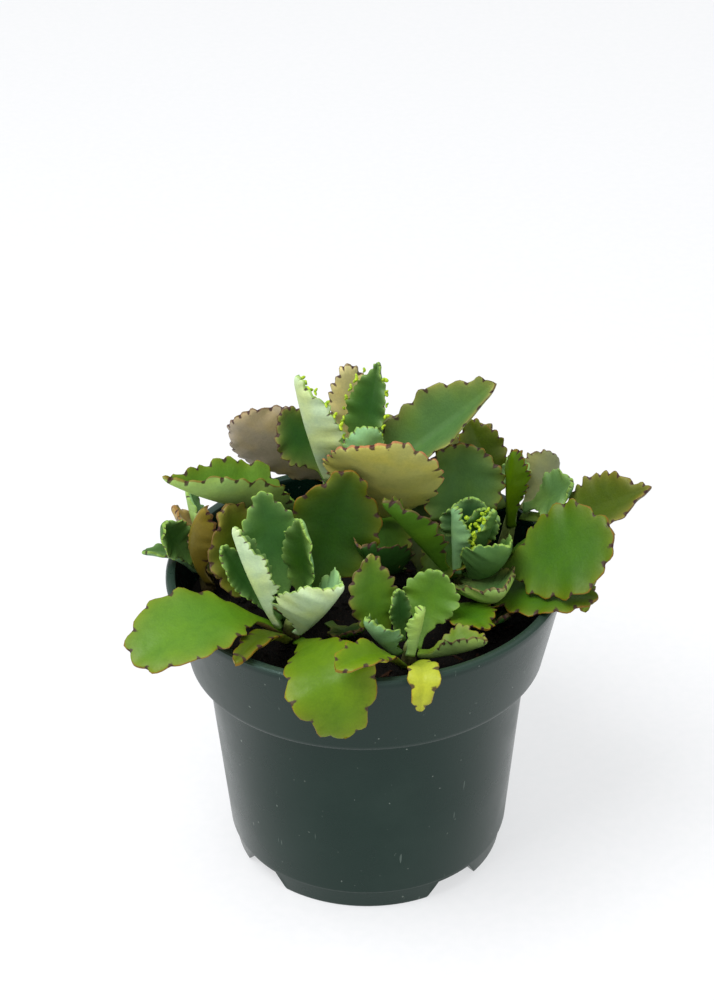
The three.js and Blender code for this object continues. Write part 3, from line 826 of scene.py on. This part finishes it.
# %% Cut the drain slots
SLOT_COUNT = 4
FRONT_FOOT = -96.5  # degrees, the middle of the piece of foot at the front
SLOT_MIDDLE = (34.8 * MM, 0, 1.5 * MM)
SLOT_SIZE = (13 * MM, 20.2 * MM, 7 * MM)
for number in range(SLOT_COUNT):
    angle = math.radians(FRONT_FOOT + 45 + 90 * number)
    bpy.ops.object.select_all(action="DESELECT")
    bpy.ops.mesh.primitive_cube_add(size=1, location=SLOT_MIDDLE)
    wedge = bpy.context.object
    edit(wedge)
    bpy.ops.transform.resize(value=SLOT_SIZE, center_override=SLOT_MIDDLE)
    bpy.ops.mesh.select_all(action="DESELECT")
    leave_edit()
    for face in wedge.data.polygons:
        face.select = face.normal.z > 0.9
    bpy.ops.object.mode_set(mode="EDIT")
    bpy.ops.mesh.select_mode(type="FACE")
    bpy.ops.transform.resize(value=(1, 0.54, 1), center_override=(0, 0, 5 * MM))
    bpy.ops.mesh.select_mode(type="VERT")
    leave_edit()
    wedge.data.transform(wedge.matrix_world)
    wedge.matrix_world = Matrix.Identity(4)
    wedge.data.transform(Matrix.Rotation(angle, 4, "Z"))
    apply_modifier(pot, "BOOLEAN", operation="DIFFERENCE", object=wedge, solver="EXACT")
    bpy.data.objects.remove(wedge)
select_only(pot)
bpy.ops.object.shade_smooth_by_angle(angle=math.radians(35))
print("pot with slots:", len(pot.data.polygons), "faces")

# %% [markdown]
# ## Satin plastic
# The pot is dark green moulded plastic. Its skin is satin, because the mould was sandblasted: a very
# fine grain. It has dust in soft patches, pale specks, and a few short scratches from being handled
# and stacked. The lip is painted a little paler, a painted highlight along the top of the rim.


# %% Plastic for the pot
def plastic_finish():
    skin = Finish("pot_plastic", Specular_IOR_Level=0.32, Specular_Tint=(0.72, 1, 0.93, 1))
    dust, cloud, grain = skin.noise(38, 4), skin.noise(9, 2), skin.noise(2600, 2)
    specks = skin.noise(620, 1)
    base = skin.mix(skin.band(cloud, 0.35, 0.7), colour(4, 26, 18), colour(7, 30, 22))
    base = skin.mix(skin.band(dust, 0.45, 0.8, 0, 0.1), base, colour(70, 86, 78))
    base = skin.mix(skin.band(specks, 0.76, 0.82, 0, 0.5), base, colour(150, 160, 150))
    stretch = skin.node(
        "ShaderNodeMapping", _0=skin.place, _2=(0.3, 0.7, 0.2), _3=(900, 900, 40)
    ).outputs[0]
    scratch = skin.node(
        "ShaderNodeTexNoise", Vector=stretch, Scale=1, Detail=1, Roughness=0.4
    ).outputs[0]
    scratch = skin.band(scratch, 0.77, 0.8, 0, 0.35)
    base = skin.mix(scratch, base, colour(120, 134, 126))
    up = skin.node("ShaderNodeSeparateXYZ", _0=skin.place).outputs[2]
    # The top of the rim is painted paler: a painted highlight along the lip.
    lip_highlight = skin.band(up, TOP - 1.6 * MM, TOP - 0.2 * MM, 0, 0.2)
    base = skin.mix(lip_highlight, base, colour(84, 104, 94))
    gloss = skin.band(dust, 0.35, 0.75, 0.24, 0.38)
    height = skin.sum(grain, skin.sum(scratch, -2.0, "MULTIPLY"))
    return skin.use(base, gloss, height, 0.05 * MM, 0.5)


pot_plastic = plastic_finish()
settle(pot, pot_plastic, "pot_plastic", "pot")
print("made", pot_plastic.name)

# %% [markdown]
# ## Soil
# The soil is peat: a dark, loose, slightly domed bed. It is turned like the pot, to the outline of
# the packed soil, and its top has many fine rings. Those are pushed up and down by cloudy noise,
# which follows no pattern that the eye could find.

# %% Heap up the soil
SOIL_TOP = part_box("soil")[1].z
SOIL_EDGE = 49.0 * MM
bed_profile = [(2, 2.3), (34, 2.3), (36, 4.3), (42.2, 62.5), (46.6, 64.0), (48.9, 74.2)]
bed_profile += [(48.9 - 2.1 * k, 74.4 + 2.1 * (1 - math.exp(-k / 3))) for k in range(1, 23)]
soil = turned("peat_bed", bed_profile, 120)
co = np.array([v.co for v in soil.data.vertices])
for index, point in enumerate(co):
    if point[2] > 74.3 * MM:
        lump = noise.fractal(Vector(point) * 260, 0.9, 2.2, 4)
        reach = min(1, (SOIL_EDGE - math.hypot(point[0], point[1])) / (3 * MM))
        co[index, 2] += max(-1.6, min(1.2, lump * 1.5)) * MM * max(reach, 0)
soil.data.vertices.foreach_set("co", co.ravel())
soil.data.update()
select_only(soil)
bpy.ops.object.shade_smooth_by_angle(angle=math.radians(50))
print("soil:", len(soil.data.polygons), "faces")


# %% [markdown]
# ## The peat's finish
# Peat is nearly black when moist, and dull; its browns are also painted darker as painted shade for
# the shadow under the leaves. Crumbs of two sizes mix its browns and push its surface about, and
# broad patches are darker where it is wetter. Bark is the same with warmer browns.


# %% Peat finish
def peat_finish(name, dark, light, bits):
    skin = Finish(name, Specular_IOR_Level=0.2)
    crumbs, fine, broad = skin.noise(700, 4, 0.7), skin.noise(2400, 3), skin.noise(150, 3)
    base = skin.mix(skin.band(crumbs, 0.35, 0.7), dark, light)
    base = skin.mix(skin.band(fine, 0.6, 0.72, 0, 0.7), base, bits)
    base = skin.mix(skin.band(broad, 0.4, 0.7, 0, 0.5), base, (0.5, 0.45, 0.42), "MULTIPLY")
    height = skin.sum(crumbs, skin.sum(fine, 0.4, "MULTIPLY"))
    return skin.use(base, skin.band(crumbs, 0.3, 0.7, 0.8, 0.97), height, 1.2 * MM)


# The peat's browns are partly its own dark colour and partly painted shade.
peat = peat_finish("peat", colour(5, 4, 3), colour(20, 15, 10), colour(70, 46, 28))
bark = peat_finish("bark", colour(34, 20, 12), colour(70, 42, 24), colour(120, 80, 52))
settle(soil, peat, "peat_soil", "soil")


# %% [markdown]
# ## Lumps and bark
# Loose lumps and bits of bark lie on the bed. Each kind is modelled once, as a small angular stone,
# and copied. Every copy gets its own place, size and turn, and then all are joined.


# %% Scatter lumps and bark
def chip(size, thin, seed):
    bpy.ops.object.select_all(action="DESELECT")
    bpy.ops.mesh.primitive_ico_sphere_add(subdivisions=1, radius=size)
    piece = bpy.context.object
    edit(piece)
    bpy.ops.transform.vertex_random(offset=size * 0.4, seed=seed)
    bpy.ops.transform.resize(value=thin, center_override=(0, 0, 0))
    return leave_edit()


def joined(pieces):
    select_only(pieces[0])
    for piece in pieces:
        piece.select_set(True)
    bpy.ops.object.join()
    return bpy.context.object


def scatter(name, pattern, count, material, slot, spread):
    copies = []
    for _ in range(count):
        reach = SOIL_EDGE * math.sqrt(random.random()) * spread
        turn = random.uniform(0, 2 * math.pi)
        size = random.uniform(0.5, 1.5)
        spot = Vector((reach * math.cos(turn), reach * math.sin(turn), SOIL_TOP - 0.2 * MM))
        spot.z -= 2.4 * MM * max(0, reach / SOIL_EDGE - 0.8) / 0.2
        tilt = [random.uniform(-0.5, 0.5), random.uniform(-0.5, 0.5), random.uniform(0, 6)]
        mesh = pattern.data.copy()
        for axis, angle in zip("XYZ", tilt):
            mesh.transform(Matrix.Rotation(angle, 4, axis))
        mesh.transform(Matrix.Translation(spot) @ Matrix.Scale(size, 4))
        piece = bpy.data.objects.new(name, mesh)
        bpy.context.scene.collection.objects.link(piece)
        copies.append(piece)
    bpy.data.objects.remove(pattern)
    whole = joined(copies)
    settle(whole, material, slot)
    print(name, count, "pieces,", len(whole.data.polygons), "faces")


scatter("peat_lumps", chip(1.3 * MM, (1, 0.8, 0.7), 3), 420, peat, "peat_soil", 0.97)
scatter("bark_bits", chip(1.1 * MM, (1.8, 0.5, 0.3), 5), 70, bark, "peat_soil", 0.96)

# %% [markdown]
# ## Plantlets
# This kalanchoe grows new plants in the notches of its older leaves. Each one is a pair of tiny
# round leaves. The pair is modelled once from a flattened ball, and copies stand in the notches of
# four leaves, leaning outwards from the blade.


# %% Model one plantlet and set copies in the notches
def plantlet_pattern():
    bpy.ops.object.select_all(action="DESELECT")
    halves = []
    for side in (-1, 1):
        bpy.ops.mesh.primitive_uv_sphere_add(segments=10, ring_count=6, radius=0.62 * MM)
        half = bpy.context.object
        edit(half)
        bpy.ops.transform.resize(value=(1.25, 0.85, 0.5), center_override=(0, 0, 0))
        bpy.ops.transform.translate(value=(side * 0.5 * MM, 0, 0.25 * MM))
        leave_edit()
        half.data.transform(Matrix.Rotation(-side * 0.5, 4, "Y"))
        halves.append(half)
    pair = joined(halves)
    bpy.ops.object.shade_smooth()
    return pair


def plantlet_finish():
    skin = Finish("plantlet_skin", Specular_IOR_Level=0.4)
    cells = skin.noise(1200, 2)
    base = skin.mix(skin.band(cells, 0.35, 0.7), colour(190, 214, 40), colour(128, 168, 34))
    return skin.use(base, skin.band(cells, 0.3, 0.7, 0.4, 0.6), cells, 0.2 * MM)


def notch_spots(skeleton, sides):
    spine = (skeleton["above"] + skeleton["below"]) / 2
    up = skeleton["above"] - skeleton["below"]
    for ring in range(4, len(spine) - 1, 2):
        for side in sides:
            out = skeleton[side][ring] - spine[ring]
            yield skeleton[side][ring], out / np.linalg.norm(out), up[ring]


BEARERS = {
    "centre_leaf_1": ("left", "right"),
    "centre_leaf_2": ("left", "right"),
    "right_leaf_1": ("left", "right"),
    "right_leaf_3": ("left", "right"),
}
pattern = plantlet_pattern()
plantlet_skin = plantlet_finish()
for node, sides in BEARERS.items():
    copies = []
    for spot, out, up in notch_spots(skeletons[node], sides):
        lean = Vector(out).to_track_quat("Z", "Y").to_matrix().to_4x4()
        turn = Matrix.Rotation(random.uniform(0, 3), 4, "Z")
        size = Matrix.Scale(random.uniform(0.8, 1.35), 4)
        mesh = pattern.data.copy()
        mesh.transform(Matrix.Translation(Vector(spot + out * 0.7 * MM)) @ lean @ turn @ size)
        piece = bpy.data.objects.new(node + "_plantlets", mesh)
        bpy.context.scene.collection.objects.link(piece)
        copies.append(piece)
    settle(joined(copies), plantlet_skin, "leaf")
    print(node, len(copies), "plantlets")
bpy.data.objects.remove(pattern)

# %% [markdown]
# ## Floor and light
# The pot stands on a plain pale sheet in a bright room with white walls. One large lamp hangs over
# it and a weaker one fills from the front, so the shadows stay soft. The sheet is lit from below as
# well, like a light table: it glows, and its own colour can be a mid grey, so shadows are faint.


# %% Floor and lamps
SHEET_GLOW = 0.63
ROOM_LIGHT = 0.7
bpy.ops.object.select_all(action="DESELECT")
bpy.ops.mesh.primitive_plane_add(size=8, location=(0, 0, 0))
floor = bpy.context.object
floor.name = "floor"
sheet = Finish("pale_sheet", Specular_IOR_Level=0.2)
tooth = sheet.noise(300, 2)
floor_base = sheet.mix(sheet.band(tooth, 0.3, 0.7), colour(148, 149, 151), colour(152, 152, 154))
sheet.shader.inputs["Emission Color"].default_value = (0.98, 0.99, 1, 1)
sheet.shader.inputs["Emission Strength"].default_value = SHEET_GLOW
floor.data.materials.append(
    sheet.use(floor_base, sheet.band(tooth, 0.3, 0.7, 0.7, 0.8), tooth, 0.02 * MM)
)

world = bpy.data.worlds.new("white_room")
bpy.context.scene.world = world
world.use_nodes = True
world.node_tree.nodes["Background"].inputs[0].default_value = (1, 1, 1, 1)
world.node_tree.nodes["Background"].inputs[1].default_value = ROOM_LIGHT


def lamp(name, location, size, power):
    light = bpy.data.lights.new(name, "AREA")
    light.size, light.energy = size, power
    holder = bpy.data.objects.new(name, light)
    holder.location = location
    aim_at = Vector((0, 0, 0.08)) - Vector(location)
    holder.rotation_euler = aim_at.to_track_quat("-Z", "Y").to_euler()
    bpy.context.scene.collection.objects.link(holder)


lamp("key", (-0.35, -0.25, 1.0), 0.6, 10)
lamp("fill", (0.6, -0.9, 0.6), 0.8, 1.5)
print("lamps set")

# %% [markdown]
# ## Camera
# The camera looks down at the plant from the front, at about a third of the way to straight down. A
# long lens from far off keeps the pot's sides nearly straight.

# %% Camera
TARGET = Vector((-2.0, 0, 108.5)) * MM
DISTANCE = 690 * MM
ELEVATION = math.radians(31.5)
ROLL = math.radians(-0.78)
lens = bpy.data.cameras.new("camera")
lens.lens = 93.6
lens.sensor_width = 36
lens.clip_start = 0.01
camera = bpy.data.objects.new("camera", lens)
back = Vector((0, -math.cos(ELEVATION), math.sin(ELEVATION)))
camera.location = TARGET + back * DISTANCE
aim = back.to_track_quat("Z", "Y").to_matrix() @ Matrix.Rotation(ROLL, 3, "Z")
camera.rotation_euler = aim.to_euler()
bpy.context.scene.collection.objects.link(camera)
bpy.context.scene.camera = camera
bpy.context.scene.view_settings.view_transform = "Standard"
